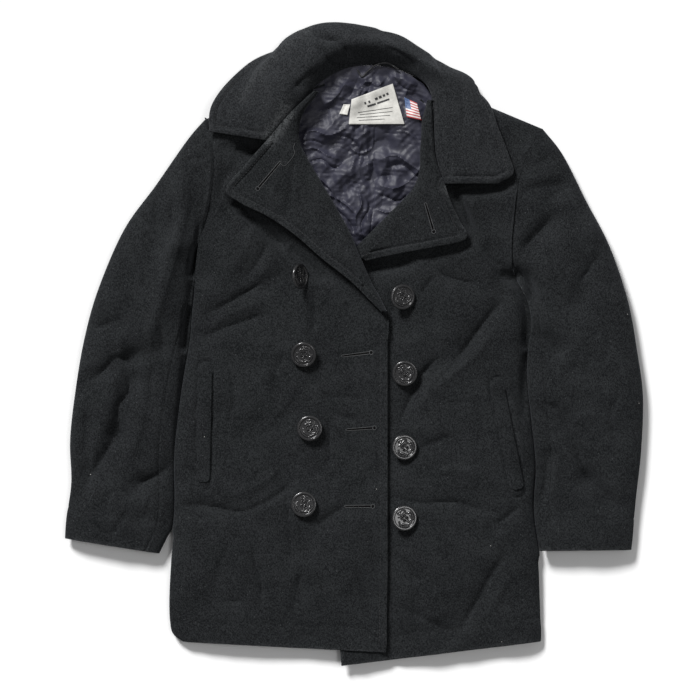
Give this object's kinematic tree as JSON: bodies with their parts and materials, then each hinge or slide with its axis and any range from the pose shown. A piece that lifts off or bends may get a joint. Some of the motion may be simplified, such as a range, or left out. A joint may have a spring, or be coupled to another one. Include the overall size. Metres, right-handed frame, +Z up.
{
  "type": "pea coat",
  "caption": "Short double-breasted wool coat, unbuttoned and laid flat on its back, with a wide turned collar, notched lapels, long sleeves, welt pockets and anchor buttons.",
  "frame": {"origin": "bottom centre of the coat's box as it lies on the floor", "axes": "+Y towards the collar, +X towards the wearer's left sleeve, +Z up from the floor through the back, lining and fronts"},
  "size_m": [0.7238, 0.8032, 0.0502],
  "materials": {
    "wool": "napped black wool melton",
    "lining_satin": "crinkled dark blue satin lining",
    "label_satin": "off-white woven satin",
    "button_plastic": "glossy black moulded plastic",
    "cord": "black twisted cord"
  },
  "bodies": {
    "root": {"front_wearers_right": "wool", "back_wearers_right": "wool", "sleeve_top_wearers_right": "wool", "sleeve_under_wearers_right": "wool", "facing_wearers_right": "wool", "lapel_wearers_right": "wool", "pocket_welt_wearers_right": "wool", "front_wearers_left": "wool", "back_wearers_left": "wool", "sleeve_top_wearers_left": "wool", "sleeve_under_wearers_left": "wool", "facing_wearers_left": "wool", "lapel_wearers_left": "wool", "pocket_welt_wearers_left": "wool", "collar_upper": "wool", "collar_under": "wool", "lining_back": "lining_satin", "label": "label_satin", "size_tag": "label_satin", "flag_tag": "label_satin", "hanger_loop": "cord", "button_1": "button_plastic", "button_2": "button_plastic", "button_3": "button_plastic", "button_4": "button_plastic", "button_5": "button_plastic", "button_6": "button_plastic", "button_7": "button_plastic", "button_8": "button_plastic"}
  },
  "joints": []
}
